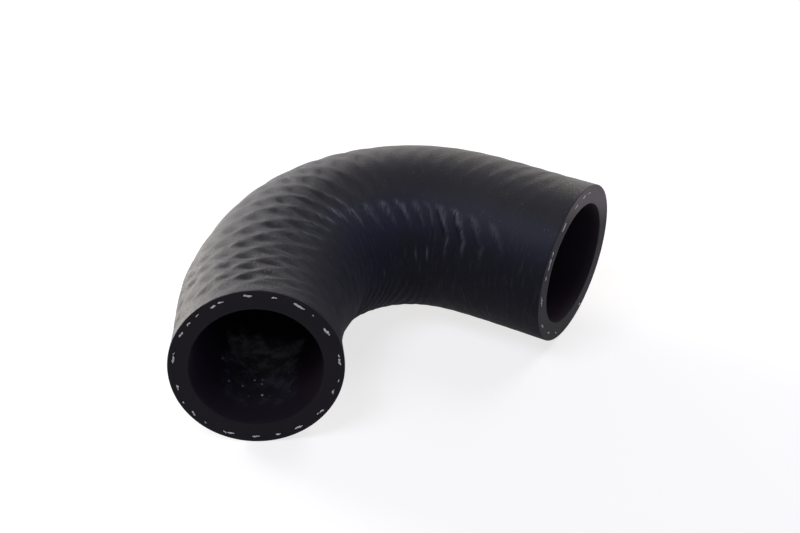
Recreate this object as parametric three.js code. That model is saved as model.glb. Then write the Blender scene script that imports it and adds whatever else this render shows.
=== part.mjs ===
// Moulded radiator hose: a short rubber elbow with one bore right through it.
// The knitted reinforcement under the cover shows outside as a lattice of shallow
// lozenges, and both ends are plain slanted cuts.
// Millimetres, +Z up. The hose lies flat, with its centreline level.
import * as THREE from 'three';

const { cos, sin, tan, PI } = Math;
const { degToRad, smoothstep } = THREE.MathUtils;

// Section
const boreDiameter = 32;
const wallThickness = 5;

// Centreline, from the near mouth to the far one. The bend turns right, seen from above.
const nearLegLength = 15.7;
const farLegLength = 17.5;
const bendRadius = 34.9;
const bendAngle = degToRad(114.75);
// Length over which the curvature grows to its full value, and fades again
const bendEase = 21.2;

// Slant of each cut: yaw turns it about the vertical, pitch leans its top into the hose
const nearCutYaw = degToRad(-5);
const nearCutPitch = degToRad(7.2);
const farCutYaw = degToRad(0.6);
const farCutPitch = degToRad(1.4);

// The near leg bows to the outside of the bend: how far, where most, and how it fades
const legBow = 1.05;
const legBowPeak = 22;
const legBowFade = 15;
// On the inside of the bend the cover is pinched in a little behind the near mouth
const pinchDepth = 0.9;
const pinchMiddle = 12;
const pinchReach = 9;

// Lattice of the reinforcement: yarns wound each way, their spacing along the hose,
// and where the first ones cross. The lattice twists slowly along the hose.
const yarnStarts = 12;
const yarnPitch = 5.08;
const firstCrossing = 2.58;
const crossingTurn = degToRad(94.5);
const twistPerLength = degToRad(0.258);
const lozengeDepth = 0.5;
// The cover is smooth close to the mouths, and the lattice fades in behind them
const nearSmoothLength = 3;
const nearFadeLength = 6;
const farSmoothLength = 12;
const farFadeLength = 18;

// Fineness of the mesh: four rows and four columns for each lozenge, and a coarser bore
const samplesPerLozenge = 4;
const samplesPerBoreRow = 5;

const boreRadius = boreDiameter / 2;
const coverRadius = boreRadius + wallThickness;
const bendLength = bendRadius * bendAngle + bendEase;
const hoseLength = nearLegLength + bendLength + farLegLength;
const rowStep = yarnPitch / samplesPerLozenge;
// The first and last rows that follow the lattice, counted from the first crossing,
// at least half a step from the mouths
const firstRow = Math.ceil(0.5 - firstCrossing / rowStep);
const lastRow = Math.floor((hoseLength - firstCrossing) / rowStep - 0.5);

// The hose's centreline: a straight leg, a bend whose curvature eases in and out,
// and a second straight leg. Beyond either mouth it runs on straight.
class Centreline {
  constructor(stepCount = 1200) {
    this.step = hoseLength / stepCount;
    this.points = [new THREE.Vector2(0, 0)];
    for (let index = 0; index < stepCount; index += 1) {
      const heading = this.heading((index + 0.5) * this.step);
      const last = this.points[index];
      this.points.push(new THREE.Vector2(
        last.x + this.step * cos(heading),
        last.y + this.step * sin(heading),
      ));
    }
  }

  // Direction of travel at a distance along the hose: it starts along +Y
  heading(distance) {
    const start = nearLegLength;
    const end = start + bendLength;
    const into = THREE.MathUtils.clamp(distance - start, 0, bendLength);
    const turnedIn = into < bendEase
      ? into * into / (2 * bendEase)
      : into - bendEase / 2;
    const left = end - THREE.MathUtils.clamp(distance, start, end);
    const stillToEase = left < bendEase ? (bendEase - left) ** 2 / (2 * bendEase) : 0;
    return PI / 2 - (turnedIn - stillToEase) / bendRadius;
  }

  // Point on the centreline, seen from above
  point(distance) {
    const inside = THREE.MathUtils.clamp(distance, 0, hoseLength);
    const place = inside / this.step;
    const index = Math.min(Math.floor(place), this.points.length - 2);
    const beyond = distance - inside;
    const heading = this.heading(distance);
    return this.points[index].clone()
      .lerp(this.points[index + 1], place - index)
      .add(new THREE.Vector2(beyond * cos(heading), beyond * sin(heading)));
  }
}

const centreline = new Centreline();

// How far a slanted cut moves a point of the wall along the hose. The shift is
// whole at the mouth and dies out along the straight leg behind it.
function cutShift(distance, outward, upward) {
  const nearShare = 1 - smoothstep(distance, 0, nearLegLength);
  const farShare = smoothstep(distance, hoseLength - farLegLength, hoseLength);
  return nearShare * (tan(nearCutYaw) * outward + tan(nearCutPitch) * upward)
    + farShare * (tan(farCutYaw) * outward + tan(farCutPitch) * upward);
}

// How far the near leg bows outwards at a distance from its mouth
function bow(distance) {
  return legBow
    * smoothstep(distance, 0, legBowPeak)
    * (1 - smoothstep(distance, legBowPeak, legBowPeak + legBowFade));
}

// Depth of the cover's lattice, with the turn counted along the twisting yarns: ridges
// follow both families of them, and each lozenge between them is a shallow hollow.
function latticeDepth(distance, turn) {
  const along = 2 * PI * (distance - firstCrossing) / yarnPitch;
  const around = yarnStarts * turn;
  const nearFade = smoothstep(distance, nearSmoothLength, nearSmoothLength + nearFadeLength);
  const farFade = smoothstep(hoseLength - distance, farSmoothLength, farSmoothLength + farFadeLength);
  return lozengeDepth * Math.abs(cos(around) - cos(along)) / 2 * nearFade * farFade;
}

// Depth of the pinch on the inside of the bend, at an angle from its outside
function pinch(distance, angle) {
  const inner = Math.max(-cos(angle), 0) ** 2;
  return pinchDepth * inner * Math.exp(-(((distance - pinchMiddle) / pinchReach) ** 2))
    * smoothstep(distance, 0, nearSmoothLength);
}

// Straight sleeve, turned about its axis: up the cover, across the far cut,
// back down the bore and across the near cut
function straightSleeve() {
  const profile = [new THREE.Vector2(coverRadius, 0)];
  for (let row = firstRow; row <= lastRow; row += 1) {
    profile.push(new THREE.Vector2(coverRadius, firstCrossing + row * rowStep));
  }
  profile.push(new THREE.Vector2(coverRadius, hoseLength));
  const boreRows = Math.round((lastRow - firstRow) / samplesPerBoreRow);
  for (let row = boreRows; row >= 0; row -= 1) {
    profile.push(new THREE.Vector2(boreRadius, hoseLength * row / boreRows));
  }
  profile.push(profile[0].clone());
  const columns = yarnStarts * samplesPerLozenge;
  const sleeve = new THREE.LatheGeometry(profile, columns);
  sleeve.setIndex(crossedTriangles(columns, profile.length));
  return sleeve;
}

// Triangles of a turned grid, with the diagonals crossing like the yarns do, so
// that every ridge of the lattice is an edge. The profile's row 1 is the first row
// that follows the lattice.
function crossedTriangles(columns, rowsPerColumn) {
  const triangles = [];
  for (let column = 0; column < columns; column += 1) {
    for (let row = 0; row < rowsPerColumn - 1; row += 1) {
      const a = column * rowsPerColumn + row;
      const b = a + rowsPerColumn;
      const c = b + 1;
      const d = a + 1;
      if ((column + row + firstRow) % 2 !== 0) {
        triangles.push(a, b, c, a, c, d);
      } else {
        triangles.push(a, b, d, b, c, d);
      }
    }
  }
  return triangles;
}

// Presses the lattice into the cover of a straight sleeve, slants its ends, and
// bends it along the centreline
function bendSleeve(sleeve) {
  const position = sleeve.getAttribute('position');
  const middleRadius = (boreRadius + coverRadius) / 2;
  for (let index = 0; index < position.count; index += 1) {
    const distance = position.getY(index);
    const radius = Math.hypot(position.getX(index), position.getZ(index));
    const turn = Math.atan2(position.getX(index), position.getZ(index));
    const angle = turn + crossingTurn - twistPerLength * distance;
    const depth = radius > middleRadius ? latticeDepth(distance, turn) + pinch(distance, angle) : 0;
    const outward = (radius - depth) * cos(angle);
    const upward = (radius - depth) * sin(angle);
    const along = distance + cutShift(distance, outward, upward);
    const centre = centreline.point(along);
    const heading = centreline.heading(along);
    const sideways = outward + bow(distance);
    position.setXYZ(
      index,
      centre.x - sideways * sin(heading),
      centre.y + sideways * cos(heading),
      upward,
    );
  }
  return sleeve;
}

function hose() {
  const geometry = bendSleeve(straightSleeve());
  // The origin is under the middle of the hose, on the ground that it lies on
  geometry.computeBoundingBox();
  const { min, max } = geometry.boundingBox;
  geometry.translate(-(min.x + max.x) / 2, -(min.y + max.y) / 2, -min.z);
  geometry.computeVertexNormals();
  const rubber = new THREE.MeshStandardMaterial({ color: 0x232326, roughness: 0.5, metalness: 0 });
  const mesh = new THREE.Mesh(geometry, rubber);
  mesh.name = 'hose';
  return mesh;
}

const radiatorHose = new THREE.Group();
radiatorHose.add(hose());

export default radiatorHose;
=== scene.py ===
# Looks of a moulded radiator hose: its rubber cover with the lattice that the
# reinforcement presses into it, the slanted knife cuts at both ends, the bore,
# and the cut ends of the white yarn. Metres, +Z up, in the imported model's frame.
import math
import random

import bmesh
import bpy
import numpy as np
from mathutils import Matrix, Vector


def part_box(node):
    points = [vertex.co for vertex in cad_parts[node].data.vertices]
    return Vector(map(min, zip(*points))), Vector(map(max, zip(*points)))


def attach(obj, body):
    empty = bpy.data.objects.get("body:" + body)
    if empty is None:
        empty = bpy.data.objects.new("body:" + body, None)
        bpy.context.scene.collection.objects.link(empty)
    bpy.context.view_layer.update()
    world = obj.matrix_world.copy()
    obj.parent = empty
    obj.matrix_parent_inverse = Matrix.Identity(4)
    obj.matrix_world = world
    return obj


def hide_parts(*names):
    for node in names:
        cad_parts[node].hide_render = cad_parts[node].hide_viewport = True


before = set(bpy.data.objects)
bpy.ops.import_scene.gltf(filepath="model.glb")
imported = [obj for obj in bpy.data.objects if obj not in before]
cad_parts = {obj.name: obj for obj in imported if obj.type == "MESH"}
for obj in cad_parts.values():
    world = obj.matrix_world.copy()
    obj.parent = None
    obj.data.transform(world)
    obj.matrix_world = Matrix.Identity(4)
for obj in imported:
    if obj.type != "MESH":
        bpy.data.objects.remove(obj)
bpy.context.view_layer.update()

MM = 0.001

# Section of the hose
BORE_RADIUS = 16 * MM
COVER_RADIUS = 21 * MM

# Centreline: near leg, bend with eased ends, far leg
NEAR_LEG = 15.7 * MM
FAR_LEG = 17.5 * MM
BEND_RADIUS = 34.9 * MM
BEND_ANGLE = math.radians(114.75)
BEND_EASE = 21.2 * MM
BEND_LENGTH = BEND_RADIUS * BEND_ANGLE + BEND_EASE
HOSE_LENGTH = NEAR_LEG + BEND_LENGTH + FAR_LEG

# Slants of the cuts, as sideways and upward slopes of the cut plane
NEAR_SLOPES = (math.tan(math.radians(-5)), math.tan(math.radians(7.2)))
FAR_SLOPES = (math.tan(math.radians(0.6)), math.tan(math.radians(1.4)))

# The near leg bows to the outside of the bend: how far, where most, and how it fades
LEG_BOW = 1.05 * MM
LEG_BOW_PEAK = 22 * MM
LEG_BOW_FADE = 15 * MM

# The values of the cover's relief give places along the hose in plain millimetres
# from the near mouth, as s does in the functions, and places round it in degrees
# from the outer side of the bend upwards. Radii, depths and heights stay in metres.
# Four places together are those at which something begins, is full, fades and ends.

# Radii between which the relief fades in, across the rounded edges of the cover
PRESSED_FROM = COVER_RADIUS - 0.8 * MM
PRESSED_FULLY = COVER_RADIUS - 0.1 * MM

# On the inside of the bend the cover is pinched in a little behind the near mouth
PINCH_DEPTH = 0.9 * MM
PINCH_MIDDLE = 12
PINCH_REACH = 9

# Lattice of the reinforcement. Its yarns cross in rows, every second row half a
# lozenge further round. The rows listed are uneven, and past them there is one every
# half pitch. The lattice twists slowly along the hose.
YARN_STARTS = 12
CROSSING_ROWS = (
    0.6, 3.2, 5.7, 8.7, 10.9, 14.4, 16.0, 18.7,
    20.7, 23.5, 26.2, 29.7, 31.7, 35.2, 37.2, 39.9,
)
HALF_PITCH = 2.6
CROSSING_TURN = 101.5
TWIST = 0.258
LOZENGE_DEPTH = 0.6 * MM
# Here the yarns that rise along the hose hand over to those that fall, as the family
# that stands out more
FAR_HALF = (70, 92)
# How much of a lozenge's hollow is left over a yarn of the weaker family
WEAK_YARN_HOLLOW = 0.34
# How far the yarns wander from the even lattice, in radians of its waves
YARN_SWAY = 0.3
SLOW_SWAY = 0.25
QUICK_SWAY = 0.2
# On top the lattice is pushed round a little: how far, where, and how far that reaches
TOP_PUSH = 2.2
TOP_PUSH_TURN = 100
TOP_PUSH_REACH = 7
# How much deeper the lozenges are behind a row of crossings than before it, and how
# much their depth varies
LOZENGE_LEAN = 0.3
LOZENGE_VARIATION = 0.2
# The lattice stands out less under the hose than on top
UNDER_SIDE = (-150, -120, -60, -20)

# Gathers that the bend squeezes up on its upper inner side, each a small ridge with
# a narrow groove before it: where each ridge lies at the gathers' turn, and how
# strong it is. With every degree of turn a ridge lies further along by the slant,
# or by half of it on the near half of the bend. Past the slant's end it runs
# straight round.
GATHERS = (
    24, 31, 37.5, 43.5, 49.4, 54.2, 61, 68.1,
    74.9, 81.3, 86, 90.7, 96.3, 101.7, 107.3, 113,
)
GATHER_SHARES = (
    0.1, 0.25, 0.35, 0.4, 0.5, 0.6, 0.65, 0.7,
    0.8, 0.5, 0.4, 1, 1, 0.45, 0.4, 0,
)
GATHER_TURN = 132
GATHER_SLANT = 0.28
GATHER_SLANT_END = 150
GATHERS_ALONG = (20, 30, 107, 110)
# The turn at which the first gathers start, and how many degrees their grooves and
# ridges run on from there. Along the stretches named they run on further.
GATHER_HEAD = 110
GROOVE_LENGTH = 7
LONG_GROOVES = (76, 84, 98, 104)
RIDGE_LENGTH = 22
LONG_RIDGES = (82, 90, 103, 108)
RIDGE_HEIGHT = 0.2 * MM
GROOVE_DEPTH = 0.45 * MM
# The groove's place and width, as shares of the way from one ridge to the next
GROOVE_PLACE = 0.74
GROOVE_WIDTH = 0.13

# Short ridges in a second row below the gathers: place, turn and share of each,
# and the slant, width and length of all
SECOND_RIDGES = (
    (75, 163, 0.4),
    (81.5, 165, 1),
    (88, 164, 0.9),
    (84, 175, 0.3),
    (61, 177, 0.4),
)
SECOND_SLANT = 0.06
SECOND_WIDTH = 0.55
SECOND_LENGTH = 4

# Fine slanted wrinkles low on the inner side of the bend
WRINKLE_DEPTH = 0.18 * MM
WRINKLE_PITCH = 4.6
WRINKLE_SLANT = 0.25
WRINKLE_TURN = 200
WRINKLES_ROUND = (176, 192, 222, 240)
WRINKLES_ALONG = (34, 46, 86, 100)

# Slow unevenness of the moulding, which keeps clear of the mouths
SWELL_DEPTH = 0.1 * MM
SWELL_MARGIN = 8

# Painted highlights in pale lines over the rising yarns, between the lattice on top and
# the gathers: how far they spread from the middle of a yarn, and how pale they are next to a
# ridge
YARN_LINES_ROUND = (98, 108, 122, 132)
YARN_LINES_ALONG = (22, 28, 50, 60)
YARN_LINE_SPREAD = (0.08, 0.5)
YARN_LINE_SHARE = 0.6

# How hollow the wrinkles are to the materials, next to a lozenge
WRINKLE_HOLLOWNESS = 0.4

# Fineness of the mesh: columns round the hose, rows along the cover, rings on each
# cut face and rows along the bore. Faces that meet at a smaller angle than the two
# last ones are shaded smooth.
COLUMNS = 264
ROW_BANDS = 24
ROWS_PER_BAND = 11
CUT_RINGS = 9
BORE_ROWS = 44
EDGE_ROUNDING = 0.25 * MM
HOSE_SMOOTHING = math.radians(40)
YARN_SMOOTHING = math.radians(60)


# Shape of the hose

def heading(along):
    """Direction of travel at distances along the hose, as an angle from +X."""
    into = np.clip(along - NEAR_LEG, 0, BEND_LENGTH)
    left = BEND_LENGTH - into
    turned = np.where(into < BEND_EASE, into**2 / (2 * BEND_EASE), into - BEND_EASE / 2)
    unturned = np.where(left < BEND_EASE, (BEND_EASE - left) ** 2 / (2 * BEND_EASE), 0)
    return math.pi / 2 - (turned - unturned) / BEND_RADIUS


def centreline(steps=1200):
    """Evenly spaced stations along the hose and their places, seen from above."""
    stations = np.linspace(0, HOSE_LENGTH, steps + 1)
    middles = (stations[:-1] + stations[1:]) / 2
    stride = HOSE_LENGTH / steps
    x = np.concatenate([[0], np.cumsum(np.cos(heading(middles)) * stride)])
    y = np.concatenate([[0], np.cumsum(np.sin(heading(middles)) * stride)])
    return stations, x, y


STATIONS, CENTRE_X, CENTRE_Y = centreline()


def smooth(low, high, value):
    """Goes from 0 at low to 1 at high, smoothly."""
    share = np.clip((value - low) / (high - low), 0, 1)
    return share * share * (3 - 2 * share)


def between(value, begin, full, fade, end):
    """Goes from 0 at begin to 1 at full, and from 1 at fade back to 0 at end."""
    return smooth(begin, full, value) * (1 - smooth(fade, end, value))


def bell(value, middle, reach):
    """Goes from 1 in the middle to about a third at the reach on both sides."""
    return np.exp(-(((value - middle) / reach) ** 2))


def follow_centreline(points, mouth):
    """Bends points of the straight hose, which stands on its near mouth with x
    towards the outside of the bend and y upwards, and slants its ends."""
    outward, upward, along = points.T
    bow = LEG_BOW * between(along, 0, LEG_BOW_PEAK, LEG_BOW_PEAK, LEG_BOW_PEAK + LEG_BOW_FADE)
    near_share = 1 - smooth(0, NEAR_LEG, along)
    far_share = smooth(HOSE_LENGTH - FAR_LEG, HOSE_LENGTH, along)
    along = (
        along
        + near_share * (NEAR_SLOPES[0] * outward + NEAR_SLOPES[1] * upward)
        + far_share * (FAR_SLOPES[0] * outward + FAR_SLOPES[1] * upward)
    )
    inside = np.clip(along, 0, HOSE_LENGTH)
    angle = heading(along)
    x = np.interp(inside, STATIONS, CENTRE_X) + (along - inside) * np.cos(angle)
    y = np.interp(inside, STATIONS, CENTRE_Y) + (along - inside) * np.sin(angle)
    outward = outward + bow
    return np.column_stack([
        mouth.x + x - outward * np.sin(angle),
        mouth.y + y + outward * np.cos(angle),
        mouth.z + upward,
    ])


def find_mouth():
    """The near mouth's centre. The outer line of the hose and the lowest point of
    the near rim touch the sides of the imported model's box."""
    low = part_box("hose")[0]
    round_line = np.full(len(STATIONS), COVER_RADIUS)
    outer_line = np.column_stack([round_line, 0 * STATIONS, STATIONS])
    return Vector((
        low.x - follow_centreline(outer_line, Vector((0, 0, 0)))[:, 0].min(),
        low.y + COVER_RADIUS * math.hypot(*NEAR_SLOPES),
        low.z + COVER_RADIUS,
    ))


MOUTH = find_mouth()


def course_phase(s):
    """Phase of the lattice along the hose: half a turn for every row of crossings."""
    counted = np.interp(s, CROSSING_ROWS, np.arange(len(CROSSING_ROWS)))
    beyond = np.maximum(s - CROSSING_ROWS[-1], 0) + np.minimum(s - CROSSING_ROWS[0], 0)
    return math.pi * (counted + beyond / HALF_PITCH)


def yarn_phase(s, turn):
    """Phase of the lattice round the hose, in which the yarns sway a little."""
    sway = YARN_SWAY * np.sin(0.33 * s + 0.7)
    return YARN_STARTS * np.radians(turn - CROSSING_TURN) + sway


def slow_sway(s, degrees):
    """How far the rows of crossings wander from their even places."""
    return SLOW_SWAY * np.sin(0.19 * s + np.radians(2 * degrees) + 0.6)


def lozenges(s, degrees):
    """How hollow the cover is, from 0 on the ridges over the yarns to 1 in the
    middle of a lozenge. One family of yarns stands out more than the other: on the
    near half the rising one, on the far half the falling one."""
    turn = degrees + TWIST * s
    turn = turn + TOP_PUSH * bell(turn, TOP_PUSH_TURN, TOP_PUSH_REACH)
    quick_sway = QUICK_SWAY * np.sin(0.43 * s - np.radians(5 * degrees) + 2.1)
    around = yarn_phase(s, turn)
    course = course_phase(s) + (slow_sway(s, degrees) + quick_sway)
    rising = np.abs(np.sin((around - course) / 2))
    falling = np.abs(np.sin((around + course) / 2))
    far_half = smooth(*FAR_HALF, s)
    strong = rising + (falling - rising) * far_half
    weak = falling + (0.6 + 0.4 * rising - falling) * far_half
    weak = WEAK_YARN_HOLLOW + (1 - WEAK_YARN_HOLLOW) * weak**3
    lean = 1 + LOZENGE_LEAN * np.sin(course)
    wave = np.sin(0.9 * s + 1.3) * np.sin(np.radians(11 * degrees) + 0.5 * s)
    uneven = 1 - LOZENGE_VARIATION + LOZENGE_VARIATION * wave
    return 1.05 * strong**1.2 * weak * lean * uneven


def lozenge_strength(s, degrees):
    """Where the lattice stands out: on the near leg and the first half of the bend,
    most of all on the upper side."""
    # Round the bend the upper side's lattice ends earlier towards the inner side
    upper_end = 112 - 22 * smooth(60, 90, s)
    upper = between(degrees, -10, 30, upper_end, upper_end + 26)
    upper = upper * (1 - 0.4 * smooth(86, 100, degrees))
    under = between(degrees, *UNDER_SIDE)
    along = 1 - 0.76 * smooth(46, 76, s) + 0.05 * smooth(86, 100, s)
    everywhere = 0.2 - 0.12 * smooth(40, 70, s)
    ends = smooth(0.4, 5, s) * smooth(3, 12, HOSE_LENGTH / MM - s)
    return along * (everywhere + 0.8 * np.maximum(upper, 0.5 * under)) * ends


def gathers(s, degrees):
    """How deep the gathers' grooves are and how far their ridges rise, as shares of
    the full depth and height. A ridge starts at its head and runs down the inner
    side of the bend."""
    slant = GATHER_SLANT * (0.5 + 0.5 * smooth(46, 72, s))
    # Where the gather through a point lies at the gathers' turn
    place = s - slant * (np.minimum(degrees, GATHER_SLANT_END) - GATHER_TURN)
    phase = np.interp(place, GATHERS, np.arange(len(GATHERS)))
    strength = np.array(GATHER_SHARES)[np.rint(phase).astype(int)]
    share = phase - np.floor(phase)
    head = GATHER_HEAD + 15 * smooth(38, 58, place) + 0.15 * np.clip(place - 50, 0, 60)
    groove_end = head + GROOVE_LENGTH + 6 * between(place, *LONG_GROOVES)
    ridge_end = head + RIDGE_LENGTH + 22 * between(place, *LONG_RIDGES)
    groove = bell(share, GROOVE_PLACE, GROOVE_WIDTH)
    groove = groove * between(degrees, head - 3, head + 4, groove_end, groove_end + 12)
    ridge_width = 0.25 - 0.14 * smooth(head, head + 16, degrees)
    ridge = bell(share, 0, ridge_width) + bell(share, 1, ridge_width)
    ridge = ridge * between(degrees, head - 4, head + 1, head + 2, ridge_end)
    along = strength * between(place, *GATHERS_ALONG)
    second_row = sum(
        height
        * bell(s - SECOND_SLANT * (degrees - turn), middle, SECOND_WIDTH)
        * bell(degrees, turn, SECOND_LENGTH)
        for middle, turn, height in SECOND_RIDGES
    )
    return along * groove, along * ridge + second_row


def yarn_line_highlights(s, degrees):
    """Where painted highlights show the rising yarns of the first half as pale lines,
    between the lattice on top and the gathers."""
    around = yarn_phase(s, degrees + TWIST * s)
    away = np.abs(np.sin((around - course_phase(s) - slow_sway(s, degrees)) / 2))
    on_yarn = 1 - smooth(*YARN_LINE_SPREAD, away)
    return on_yarn * between(degrees, *YARN_LINES_ROUND) * between(s, *YARN_LINES_ALONG)


def wrinkles(s, degrees):
    """How deep the fine wrinkles low on the inner side of the bend are."""
    phase = (s + WRINKLE_SLANT * (degrees - WRINKLE_TURN)) / WRINKLE_PITCH
    phase = phase + 0.15 * np.sin(0.3 * s)
    wave = 0.5 + 0.5 * np.sin(2 * math.pi * phase)
    return wave * between(degrees, *WRINKLES_ROUND) * between(s, *WRINKLES_ALONG)


def swell(s, degrees):
    """Slow unevenness of the moulding, from 0 to 1."""
    wave = 0.5 + 0.5 * np.sin(0.11 * s + np.radians(2 * degrees)) * np.sin(0.07 * s + 1)
    to_far_mouth = HOSE_LENGTH / MM - s
    return wave * smooth(0, SWELL_MARGIN, s) * smooth(0, SWELL_MARGIN, to_far_mouth)


def press_cover(points):
    """Presses the lattice, the gathers and all that is finer into the cover of the
    straight hose. Returns the points, how hollow each of them is for the painted shade,
    and how much painted highlight it gets where it stands out and over the yarns."""
    outward, upward, along = points.T
    radius = np.hypot(outward, upward)
    on_cover = smooth(PRESSED_FROM, PRESSED_FULLY, radius)
    s = along / MM
    degrees = np.degrees(np.arctan2(upward, outward))
    whole_turn = np.where(degrees < 0, degrees + 360, degrees)
    hollow = lozenges(s, degrees) * lozenge_strength(s, degrees)
    grooves, ridges = gathers(s, whole_turn)
    wrinkled = wrinkles(s, whole_turn)
    inner_side = np.clip(-outward / radius, 0, 1) ** 2
    pinch = bell(s, PINCH_MIDDLE, PINCH_REACH) * inner_side * smooth(0, 3, s)
    depth = on_cover * (
        LOZENGE_DEPTH * hollow
        + GROOVE_DEPTH * grooves
        - RIDGE_HEIGHT * ridges
        + WRINKLE_DEPTH * wrinkled
        + PINCH_DEPTH * pinch
        + SWELL_DEPTH * swell(s, degrees)
    )
    keep = 1 - depth / radius
    pressed = np.column_stack([outward * keep, upward * keep, along])
    hollowness = np.clip(hollow + grooves + WRINKLE_HOLLOWNESS * wrinkled, 0, 1)
    # What stands out, and the lines over the yarns, get a painted highlight
    painted_highlight = np.clip(ridges + YARN_LINE_SHARE * yarn_line_highlights(s, degrees), 0, 1)
    return pressed, on_cover * hollowness, on_cover * painted_highlight


# Modelling

def deselect_all():
    bpy.ops.object.select_all(action="DESELECT")


def only(piece):
    """Makes one piece the selected and active object."""
    deselect_all()
    piece.select_set(True)
    bpy.context.view_layer.objects.active = piece


def pick_edges(piece, test):
    """In edit mode, selects the edges whose two ends pass a test."""
    bpy.ops.mesh.select_mode(type="EDGE")
    bpy.ops.mesh.select_all(action="DESELECT")
    mesh = bmesh.from_edit_mesh(piece.data)
    for edge in mesh.edges:
        if test(edge.verts[0].co, edge.verts[1].co):
            edge.select_set(True)
    bmesh.update_edit_mesh(piece.data)


def ring_at(radius, height):
    """A test for the edges of the ring of a radius at a height."""
    near = 0.02 * MM

    def test(a, b):
        return all(
            abs(end.z - height) < near and abs(math.hypot(end.x, end.y) - radius) < near
            for end in (a, b)
        )

    return test


def long_edge(a, b):
    """A test for the edges that run along the straight hose."""
    return abs(a.z - b.z) > 0.01 * MM


def points_of(piece):
    points = np.empty(len(piece.data.vertices) * 3)
    piece.data.vertices.foreach_get("co", points)
    return points.reshape(-1, 3)


def place_points(piece, points):
    piece.data.vertices.foreach_set("co", points.ravel())
    piece.data.update()


def straight_sleeve():
    """The hose before it is bent, standing on its near mouth, as one closed shell."""
    deselect_all()
    bpy.ops.mesh.primitive_cylinder_add(
        vertices=COLUMNS,
        radius=COVER_RADIUS,
        depth=HOSE_LENGTH,
        end_fill_type="NOTHING",
        location=(0, 0, HOSE_LENGTH / 2),
    )
    sleeve = bpy.context.object
    bpy.ops.object.transform_apply(location=True, rotation=True, scale=True)
    bpy.ops.object.mode_set(mode="EDIT")
    # Rows: the sleeve is cut into bands, and then each band again
    for cuts in (ROW_BANDS - 1, ROWS_PER_BAND - 1):
        pick_edges(sleeve, long_edge)
        bpy.ops.mesh.subdivide(number_cuts=cuts)
    # Cut faces: the rim of the cover is drawn in to the bore, ring by ring
    radii = [
        COVER_RADIUS + (BORE_RADIUS - COVER_RADIUS) * ring / CUT_RINGS
        for ring in range(CUT_RINGS + 1)
    ]
    for height in (0, HOSE_LENGTH):
        for start, end in zip(radii, radii[1:]):
            pick_edges(sleeve, ring_at(start, height))
            bpy.ops.mesh.extrude_edges_move()
            bpy.ops.transform.resize(
                value=(end / start, end / start, 1), center_override=(0, 0, height)
            )
    # Bore: the two inner rims are joined through the hose
    low_rim, high_rim = ring_at(BORE_RADIUS, 0), ring_at(BORE_RADIUS, HOSE_LENGTH)
    pick_edges(sleeve, lambda a, b: low_rim(a, b) or high_rim(a, b))
    bpy.ops.mesh.bridge_edge_loops(number_cuts=BORE_ROWS - 1, interpolation="LINEAR")
    # The knife leaves the four edges a little rounded
    rims = [ring_at(r, h) for r in (COVER_RADIUS, BORE_RADIUS) for h in (0, HOSE_LENGTH)]
    pick_edges(sleeve, lambda a, b: any(rim(a, b) for rim in rims))
    bpy.ops.mesh.bevel(offset=EDGE_ROUNDING, segments=2, affect="EDGES")
    bpy.ops.mesh.select_all(action="SELECT")
    bpy.ops.mesh.remove_doubles(threshold=0.001 * MM)
    bpy.ops.mesh.normals_make_consistent(inside=False)
    bpy.ops.object.mode_set(mode="OBJECT")
    return sleeve


def give_zones(sleeve, cover, cut, bore):
    """Gives the cover, the cut faces and the bore a material each."""
    for material in (cover, cut, bore):
        sleeve.data.materials.append(material)
    on_cover, on_cut, in_bore = range(3)
    middle = (BORE_RADIUS + COVER_RADIUS) / 2
    zones = []
    for face in sleeve.data.polygons:
        outside = math.hypot(face.center.x, face.center.y) > middle
        zone = on_cover if outside else in_bore
        zones.append(on_cut if abs(face.normal.z) > 0.5 else zone)
    sleeve.data.polygons.foreach_set("material_index", zones)


def bend(piece):
    """Keeps the straight shape in attributes for the materials, and bends the piece."""
    straight = points_of(piece)
    kept = piece.data.attributes.new("straight", "FLOAT_VECTOR", "POINT")
    kept.data.foreach_set("vector", straight.ravel())
    # The hollows get painted shade, and what stands out gets a painted highlight
    pressed, hollow, painted_highlight = press_cover(straight)
    for name, values in (("hollow", hollow), ("painted_highlight", painted_highlight)):
        share = piece.data.attributes.new(name, "FLOAT", "POINT")
        share.data.foreach_set("value", values)
    place_points(piece, follow_centreline(pressed, MOUTH))


def make_hose(cover, cut, bore):
    hose = straight_sleeve()
    give_zones(hose, cover, cut, bore)
    bend(hose)
    only(hose)
    bpy.ops.object.shade_smooth_by_angle(angle=HOSE_SMOOTHING)
    hose.name = "moulded_hose"
    return hose


# Cut yarn ends, as seen on each cut face: place round the face in degrees from the
# outer side of the bend, counted upwards, and length in millimetres
NEAR_YARN_ENDS = (
    (8, 2.2), (13, 0.7), (29, 1.7), (39, 1.3), (48, 1.0), (61, 1.5), (67, 1.4),
    (86, 2.1), (104, 1.3), (121, 2.3), (125, 1.2), (134, 0.5), (150, 2.4), (171, 0.8),
    (176, 2.0), (191, 0.7), (201, 1.5), (219, 1.4), (222, 0.7), (240, 2.1), (256, 1.3),
    (272, 2.0), (290, 1.8), (294, 1.0), (310, 0.6), (321, 1.5), (332, 0.6), (345, 1.6),
)
FAR_YARN_ENDS = (
    (72, 1.4), (82, 1.6), (96, 1.9), (118, 2.6), (140, 1.2), (148, 3.3),
    (159, 1.2), (178, 3.2), (206, 1.9), (227, 1.4), (245, 0.9), (291, 1.0),
)
# Rings of the wall on which they lie, how far they stray from the ring in millimetres
# and how far they are turned from it in degrees
NEAR_YARN_RING = 19.6 * MM
FAR_YARN_RING = 19.2 * MM
YARN_STRAY = 0.25
YARN_TURN = 9
# How deep a yarn end is in all, and how far its middle stands out of the cut
TUFT_DEPTH = 0.35 * MM
TUFT_PROUD = 0.02 * MM


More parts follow.
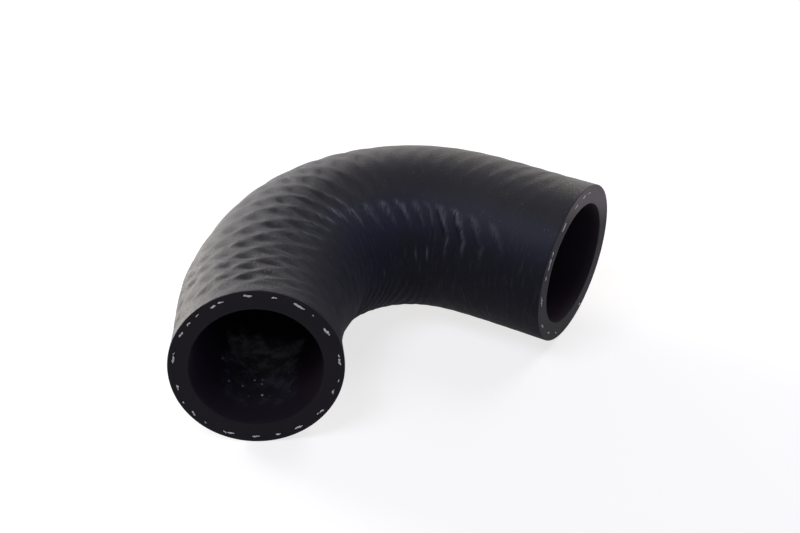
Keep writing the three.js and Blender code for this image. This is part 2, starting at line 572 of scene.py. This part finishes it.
def yarn_tuft(length, thickness, seed):
    """One cut end of a yarn bundle, lying along +Y with its middle at z = 0."""
    deselect_all()
    bpy.ops.mesh.primitive_uv_sphere_add(segments=14, ring_count=8, radius=0.5)
    tuft = bpy.context.object
    tuft.scale = (thickness, length, TUFT_DEPTH)
    bpy.ops.object.transform_apply(location=True, rotation=True, scale=True)
    points = points_of(tuft)
    chance = random.Random(seed)
    curved, pinched, lumpy, frayed = (chance.uniform(0, 2 * math.pi) for _ in range(4))
    x = points[:, 0] / MM
    y = points[:, 1] / MM
    points[:, 0] += 0.08 * MM * np.sin(4 * y + curved)
    points[:, 0] *= 1 + 0.45 * np.sin(6 * y + pinched)
    points[:, 2] *= 1 + 0.4 * np.sin(9 * y + 11 * x + lumpy)
    points[:, 1] += 0.08 * MM * np.sin(14 * x + frayed)
    place_points(tuft, points)
    return tuft


def make_yarn_ends(name, ends, material, height, facing, ring, seed):
    """The yarn ends of one cut face, seated in it and bent with the hose."""
    tufts = []
    for index, (degrees, length) in enumerate(ends):
        chance = random.Random(seed + index)
        # Longer ends are thicker too
        thickness = chance.uniform(0.8, 1.2) * (0.2 + 0.13 * length) * MM
        tuft = yarn_tuft(length * MM, thickness, seed + index)
        radius = ring + chance.uniform(-YARN_STRAY, YARN_STRAY) * MM
        tuft.matrix_world = (
            Matrix.Rotation(math.radians(degrees), 4, "Z")
            @ Matrix.Translation((radius, 0, height + facing * TUFT_PROUD))
            @ Matrix.Rotation(math.radians(chance.uniform(-YARN_TURN, YARN_TURN)), 4, "Z")
        )
        tufts.append(tuft)
    deselect_all()
    for tuft in tufts:
        tuft.select_set(True)
    bpy.context.view_layer.objects.active = tufts[0]
    bpy.ops.object.join()
    piece = bpy.context.object
    bpy.ops.object.transform_apply(location=True, rotation=True, scale=True)
    place_points(piece, follow_centreline(points_of(piece), MOUTH))
    piece.name = name
    piece.data.materials.append(material)
    bpy.ops.object.shade_smooth_by_angle(angle=YARN_SMOOTHING)
    return piece


# Shaders

class Value:
    """A shader socket that adds its Math nodes when it stands in an expression."""

    def __init__(self, shader, socket):
        self.shader = shader
        self.socket = socket

    def __add__(self, other):
        return self.shader.maths("ADD", self, other)

    def __radd__(self, other):
        return self.shader.maths("ADD", other, self)

    def __sub__(self, other):
        return self.shader.maths("SUBTRACT", self, other)

    def __rsub__(self, other):
        return self.shader.maths("SUBTRACT", other, self)

    def __mul__(self, other):
        return self.shader.maths("MULTIPLY", self, other)

    def __rmul__(self, other):
        return self.shader.maths("MULTIPLY", other, self)

    def __abs__(self):
        return self.shader.maths("ABSOLUTE", self)


class Shader:
    """The nodes of a material or of the world, which all come from one method."""

    def __init__(self, owner):
        owner.use_nodes = True
        self.owner = owner
        self.nodes = owner.node_tree.nodes
        self.links = owner.node_tree.links
        self.nodes.clear()

    def node(self, kind, result=0, settings=None, **sockets):
        """Adds a node, sets its settings, then the values or links of its sockets.
        A socket is named by its label, or by its number as i0, i1 and so on."""
        made = self.nodes.new(kind)
        for name, setting in (settings or {}).items():
            setattr(made, name, setting)
        for name, value in sockets.items():
            by_number = name[0] == "i" and name[1:].isdigit()
            socket = made.inputs[int(name[1:]) if by_number else name.replace("_", " ")]
            if isinstance(value, Value):
                self.links.new(value.socket, socket)
            else:
                socket.default_value = value
        return Value(self, made.outputs[result] if made.outputs else None)

    def maths(self, operation, a, b=0.0):
        return self.node("ShaderNodeMath", 0, {"operation": operation}, i0=a, i1=b)

    def attribute(self, name, result):
        return self.node("ShaderNodeAttribute", result, {"attribute_name": name})

    def part_of(self, vector, axis):
        return self.node("ShaderNodeSeparateXYZ", axis, None, Vector=vector)

    def stretched(self, vector, scale):
        return self.node("ShaderNodeMapping", 0, None, Vector=vector, Scale=scale)

    def noise(self, vector, scale, detail=3.0, roughness=0.55):
        return self.node(
            "ShaderNodeTexNoise", "Fac", None,
            Vector=vector, Scale=scale, Detail=detail, Roughness=roughness,
        )

    def specks(self, vector, scale):
        """Small round spots, 1 in their middles and 0 between them."""
        away = self.node("ShaderNodeTexVoronoi", "Distance", None, Vector=vector, Scale=scale)
        return self.fade(away, 0.1, 0.2)

    def step(self, value, low, high):
        """Goes from 0 at low to 1 at high, smoothly."""
        return self.node(
            "ShaderNodeMapRange", 0, {"interpolation_type": "SMOOTHSTEP"},
            Value=value, From_Min=low, From_Max=high,
        )

    def fade(self, value, low, high):
        """Goes from 1 at low to 0 at high, smoothly."""
        return 1 - self.step(value, low, high)

    def mix(self, factor, a, b):
        return self.node("ShaderNodeMix", 2, {"data_type": "RGBA"}, i0=factor, i6=a, i7=b)

    def bump(self, height, distance):
        return self.node("ShaderNodeBump", Height=height, Distance=distance, Strength=1.0)

    def seen(self):
        """1 for what the camera sees, straight or in a reflection, and 0 for light."""
        camera, glossy, through = (
            self.node("ShaderNodeLightPath", f"Is {kind} Ray")
            for kind in ("Camera", "Glossy", "Transmission")
        )
        return self.maths("MAXIMUM", camera, self.maths("MAXIMUM", glossy, through))

    def finish(self, surface, output="ShaderNodeOutputMaterial"):
        self.node(output, Surface=surface)
        return self.owner


def rgb(red, green, blue):
    """A colour from its 0 to 255 screen values."""
    linear = [
        c / 12.92 if c <= 0.04045 else ((c + 0.055) / 1.055) ** 2.4
        for c in (red / 255, green / 255, blue / 255)
    ]
    return (*linear, 1.0)


# Colours of the cover
COVER_BLACK = rgb(18, 18, 28)
COVER_WORN = rgb(27, 26, 31)
# Painted shade that darkens the hollows
HOLLOW_SHADE = rgb(13, 13, 18)
# Painted blue light: a blue reflection along the gathers and bluish shade on the inner side
PAINTED_BLUE_LIGHT = rgb(15, 20, 44)
GRAIN_GREY = rgb(48, 48, 53)
# Painted glints on the creases low on the inner side
CREASE_GLINT_GREY = rgb(52, 55, 66)
# Painted highlight on the ridges and on the lines over the yarns
HIGHLIGHT_GREY = rgb(98, 101, 108)
# Dust film, partly a painted highlight on the lit sides of the cover
DUST_AND_HIGHLIGHT_FILM = rgb(112, 110, 107)
DUST_SPECK = rgb(125, 124, 122)

# Colours of the cut faces
CUT_BLACK = rgb(20, 18, 22)
CUT_WORN = rgb(31, 28, 33)
# Painted highlight at the top of the far cut
CUT_HIGHLIGHT = rgb(130, 124, 117)

# Colours of the bore, and of the dried coolant in it near the mouth and deeper in
LINER_BLACK = rgb(36, 29, 36)
RESIDUE_NEAR = rgb(52, 53, 58)
RESIDUE_DEEP = rgb(118, 120, 129)
CRYSTAL_WHITE = rgb(200, 202, 200)

# Colours of the yarn
YARN_SHADED = rgb(196, 190, 172)
YARN_WHITE = rgb(252, 247, 232)


def new_material(name):
    return Shader(bpy.data.materials.new(name))


def towards_upper_outside(sideways, upward):
    """How far a point lies from the axis towards 60 degrees round the hose."""
    return sideways * 0.5 + upward * 0.87


def dust_and_highlight_places(shader, sideways, upward, along):
    """Where dust lies on the cover, together with a painted highlight on these lit sides:
    on the outer side of the near half, on top behind the near mouth, and on the upper
    side at the far mouth."""
    outer_side = shader.step(sideways + upward * 0.1, 13 * MM, 21 * MM)
    outer_side = outer_side * shader.fade(along, 24 * MM, 56 * MM) * 2.2
    top = shader.fade(abs(sideways + 4.5 * MM), 2 * MM, 10 * MM)
    top = top * shader.step(upward, 0, 10 * MM) * shader.fade(along, 6 * MM, 36 * MM)
    far_rim = shader.step(towards_upper_outside(sideways, upward), 16 * MM, 21 * MM)
    far_rim = far_rim * shader.step(along, HOSE_LENGTH - 14 * MM, HOSE_LENGTH) * 1.6
    return outer_side + top + far_rim


def blue_light_places(shader, sideways, upward, along):
    """Where painted blue light tints the cover: a painted blue reflection in a band along
    the gathers, and less so painted bluish shade on the inner side of the first half of the
    bend."""
    band = shader.fade(abs(sideways * 0.69 + upward * 0.72), 2 * MM, 8 * MM)
    band = band * shader.step(-1 * sideways, 5 * MM, 12 * MM)
    band = band * shader.step(along, 30 * MM, 54 * MM)
    inner = shader.step(-1 * sideways, 12 * MM, 18 * MM)
    inner = inner * shader.step(along, 20 * MM, 40 * MM)
    inner = inner * shader.fade(along, 54 * MM, 78 * MM)
    return band * 0.4 + inner * 0.2


def cover_rubber():
    """Cured black rubber: a soft sheen, faint grain that calms down round the bend,
    painted shade in the hollows, painted highlights on the ridges and creases, painted
    blue light in places, and dust that is partly a painted highlight."""
    shader = new_material("cover_rubber")
    straight = shader.attribute("straight", "Vector")
    hollow = shader.attribute("hollow", "Fac")
    sideways, upward, along = (shader.part_of(straight, axis) for axis in "XYZ")
    cloudy = shader.noise(straight, 110, 4)
    fine = shader.noise(straight, 1900, 4, 0.75)
    streaks = shader.noise(shader.stretched(straight, (1, 1, 3.2)), 380, 4, 0.65)
    grain = shader.step(shader.noise(straight, 2300, 3, 0.8), 0.5, 0.68)
    lively = 1.3 - shader.step(along, 30 * MM, 76 * MM) * 0.8
    inner_side = shader.step(-1 * sideways - upward * 0.5, 4 * MM, 18 * MM)
    creases = shader.noise(shader.stretched(straight, (0.16, 0.16, 1.4)), 900, 4, 0.6)
    creases = shader.step(creases, 0.52, 0.7) * inner_side
    dust_and_highlight = dust_and_highlight_places(shader, sideways, upward, along)
    dust = shader.specks(straight, 900)
    dust = dust * shader.step(shader.noise(straight, 260, 3), 0.48, 0.6) * (0.15 + dust_and_highlight * 0.5)
    blue_light = blue_light_places(shader, sideways, upward, along)
    # Painted highlight on the ridges and over the yarns, broken into streaks
    painted_highlight = shader.attribute("painted_highlight", "Fac") * (0.1 + shader.step(streaks, 0.35, 0.65))
    base = shader.mix(cloudy, COVER_BLACK, COVER_WORN)
    # Painted blue light along the gathers and on the shaded inner side
    base = shader.mix(blue_light, base, PAINTED_BLUE_LIGHT)
    # Painted shade in the hollows
    base = shader.mix(hollow * 0.6, base, HOLLOW_SHADE)
    base = shader.mix(grain * lively * 0.34, base, GRAIN_GREY)
    # Painted glints on the creases
    base = shader.mix(creases * 0.65, base, CREASE_GLINT_GREY)
    # Dust that is partly a painted highlight on the lit sides
    base = shader.mix(dust_and_highlight * (0.1 + grain * 0.38), base, DUST_AND_HIGHLIGHT_FILM)
    base = shader.mix(dust, base, DUST_SPECK)
    base = shader.mix(painted_highlight, base, HIGHLIGHT_GREY)
    height = (fine * 0.6 + streaks * 0.4) * lively + creases * 0.6
    return shader.finish(shader.node(
        "ShaderNodeBsdfPrincipled",
        Base_Color=base,
        Roughness=0.4 + cloudy * 0.14 + hollow * 0.12 + inner_side * 0.36,
        Specular_IOR_Level=0.16,
        Sheen_Weight=0.05,
        Sheen_Roughness=0.35,
        Sheen_Tint=(1, 0.98, 0.96, 1),
        Normal=shader.bump(height, 0.27 * MM),
    ))


def cut_rubber():
    """Rubber as a knife leaves it: matt, with faint drag lines. A painted highlight makes
    the far cut paler at its top."""
    shader = new_material("cut_rubber")
    straight = shader.attribute("straight", "Vector")
    sideways, upward, along = (shader.part_of(straight, axis) for axis in "XYZ")
    drag = shader.noise(shader.stretched(straight, (1, 0.06, 1)), 1600, 3)
    fine = shader.noise(straight, 2600, 3)
    # Painted highlight at the top of the far cut
    cut_highlight = shader.step(towards_upper_outside(sideways, upward), 9 * MM, 18 * MM)
    cut_highlight = cut_highlight * shader.step(along, 0.4 * HOSE_LENGTH, 0.6 * HOSE_LENGTH)
    base = shader.mix(shader.noise(straight, 120, 4), CUT_BLACK, CUT_WORN)
    base = shader.mix(cut_highlight * (0.7 + fine * 0.5), base, CUT_HIGHLIGHT)
    return shader.finish(shader.node(
        "ShaderNodeBsdfPrincipled",
        Base_Color=base,
        Roughness=0.6 + drag * 0.12,
        Specular_IOR_Level=0.12,
        Normal=shader.bump(drag * 0.7 + fine * 0.3, 0.05 * MM),
    ))


def bore_rubber():
    """The dark liner, with a smeared patch of dried coolant, which holds a few white
    crystals, low behind the near mouth."""
    shader = new_material("bore_rubber")
    straight = shader.attribute("straight", "Vector")
    sideways, upward, along = (shader.part_of(straight, axis) for axis in "XYZ")
    wobble = shader.noise(straight, 300, 3) * (7 * MM) - 3.5 * MM
    patch = shader.fade(abs(sideways + wobble - 1 * MM), 7.5 * MM, 10 * MM)
    patch = patch * shader.fade(upward, -3 * MM, 1 * MM)
    patch = patch * shader.step(along + wobble, 5 * MM, 9 * MM)
    patch = patch * shader.fade(along + wobble, 27 * MM, 32 * MM)
    blotches = shader.step(shader.noise(straight, 260, 5, 0.6), 0.4, 0.66)
    crystals = shader.specks(straight, 520)
    crystals = crystals * shader.step(shader.noise(straight, 210, 2), 0.5, 0.6)
    dried = shader.mix(shader.step(along, 9 * MM, 26 * MM), RESIDUE_NEAR, RESIDUE_DEEP)
    base = shader.mix(patch * (0.25 + blotches * 0.75), LINER_BLACK, dried)
    base = shader.mix(patch * crystals, base, CRYSTAL_WHITE)
    return shader.finish(shader.node(
        "ShaderNodeBsdfPrincipled",
        Base_Color=base,
        Roughness=0.55,
        Specular_IOR_Level=0.1,
        Normal=shader.bump(blotches * patch, 0.25 * MM),
    ))


def white_yarn():
    """Cut filaments of the reinforcing yarn."""
    shader = new_material("white_yarn")
    place = shader.node("ShaderNodeTexCoord", "Object")
    strands = shader.noise(place, 3800, 3, 0.7)
    base = shader.mix(shader.step(strands, 0.3, 0.6), YARN_SHADED, YARN_WHITE)
    return shader.finish(shader.node(
        "ShaderNodeBsdfPrincipled",
        Base_Color=base,
        Roughness=0.85,
        Specular_IOR_Level=0.2,
        Normal=shader.bump(strands, 0.04 * MM),
    ))


# Stage, light and camera

FLOOR_SIZE = 6
FLOOR_PAINT = (0.42, 0.42, 0.41, 1)
FLOOR_GLOW = (1, 0.99, 0.98, 1)
FLOOR_GLOW_STRENGTH = 0.74

# Softboxes one metre away that look at the hose: azimuth from +X towards +Y and
# elevation in degrees, width and height, brightness as seen from the hose, where
# 1 is white, and colour
WIDE_BOX = (0.45, 0.4)
LOW_BOX = (0.45, 0.3)
SOFTBOXES = (
    ("left_softbox", 150, 9, LOW_BOX, 44, (1, 0.95, 0.88)),
    ("back_left_softbox", 120, 14, LOW_BOX, 8.3, (0.96, 0.95, 1)),
    ("back_softbox", 90, 12, LOW_BOX, 2.6, (1, 0.89, 0.76)),
    ("back_right_softbox", 45, 50, WIDE_BOX, 4.2, (1, 0.97, 1)),
    ("front_left_top_softbox", 225, 62, WIDE_BOX, 6.5, (0.76, 0.79, 1)),
    ("front_right_fill", 330, 14, LOW_BOX, 4, (0.45, 0.47, 1)),
    ("front_fill", 265, 36, LOW_BOX, 1.6, (1, 0.98, 1)),
)

# The photograph's view, from the near mouth's side and a little to its right. The
# camera looks at a point that is given from the middle of the near mouth.
SENSOR_WIDTH = 36
LENS = 80.77
VIEW_TARGET = (31.52 * MM, 42.51 * MM, 0)
VIEW_AZIMUTH = math.radians(3.59)
VIEW_ELEVATION = math.radians(36.56)
VIEW_DISTANCE = 457.93 * MM


def make_floor():
    """A plain floor that stays white in the picture and keeps the hose's shadow."""
    shader = new_material("floor_white")
    paint = shader.node("ShaderNodeBsdfDiffuse", Color=FLOOR_PAINT)
    strength = shader.seen() * FLOOR_GLOW_STRENGTH
    glow = shader.node("ShaderNodeEmission", Color=FLOOR_GLOW, Strength=strength)
    both = shader.node("ShaderNodeAddShader", i0=paint, i1=glow)
    deselect_all()
    bpy.ops.mesh.primitive_plane_add(size=FLOOR_SIZE, location=(0, 0, 0))
    floor = bpy.context.object
    floor.name = "floor"
    floor.data.materials.append(shader.finish(both))


def look_from(thing, direction, distance, target):
    """Puts a lamp or a camera at a distance from a target, and turns it to look there."""
    thing.location = target + distance * direction
    thing.rotation_euler = (-direction).to_track_quat("-Z", "Y").to_euler()
    bpy.context.scene.collection.objects.link(thing)


def make_lights():
    for name, azimuth, elevation, size, brightness, colour in SOFTBOXES:
        data = bpy.data.lights.new(name, "AREA")
        data.shape = "RECTANGLE"
        data.size, data.size_y = size
        data.energy = brightness * math.pi * data.size * data.size_y
        data.color = colour
        turn, rise = math.radians(azimuth), math.radians(elevation)
        direction = Vector((
            math.cos(turn) * math.cos(rise),
            math.sin(turn) * math.cos(rise),
            math.sin(rise),
        ))
        look_from(bpy.data.objects.new(name, data), direction, 1, Vector((0, 0, 0)))


def make_world():
    """White to the camera and in reflections, and no light of its own."""
    world = bpy.data.worlds.new("studio")
    bpy.context.scene.world = world
    shader = Shader(world)
    surface = shader.node("ShaderNodeBackground", Strength=shader.seen())
    shader.finish(surface, "ShaderNodeOutputWorld")


def make_camera():
    data = bpy.data.cameras.new("camera")
    data.sensor_width = SENSOR_WIDTH
    data.lens = LENS
    camera = bpy.data.objects.new("camera", data)
    direction = Vector((
        math.sin(VIEW_AZIMUTH) * math.cos(VIEW_ELEVATION),
        -math.cos(VIEW_AZIMUTH) * math.cos(VIEW_ELEVATION),
        math.sin(VIEW_ELEVATION),
    ))
    look_from(camera, direction, VIEW_DISTANCE, MOUTH + Vector(VIEW_TARGET))
    bpy.context.scene.camera = camera


bpy.context.scene.view_settings.view_transform = "Standard"

hose = make_hose(cover_rubber(), cut_rubber(), bore_rubber())
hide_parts("hose")
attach(hose, "root")

yarn = white_yarn()
near_ends = make_yarn_ends(
    "near_yarn_ends", NEAR_YARN_ENDS, yarn,
    height=0, facing=-1, ring=NEAR_YARN_RING, seed=10,
)
far_ends = make_yarn_ends(
    "far_yarn_ends", FAR_YARN_ENDS, yarn,
    height=HOSE_LENGTH, facing=1, ring=FAR_YARN_RING, seed=60,
)
for ends in (near_ends, far_ends):
    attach(ends, "root")

make_floor()
make_lights()
make_world()
make_camera()
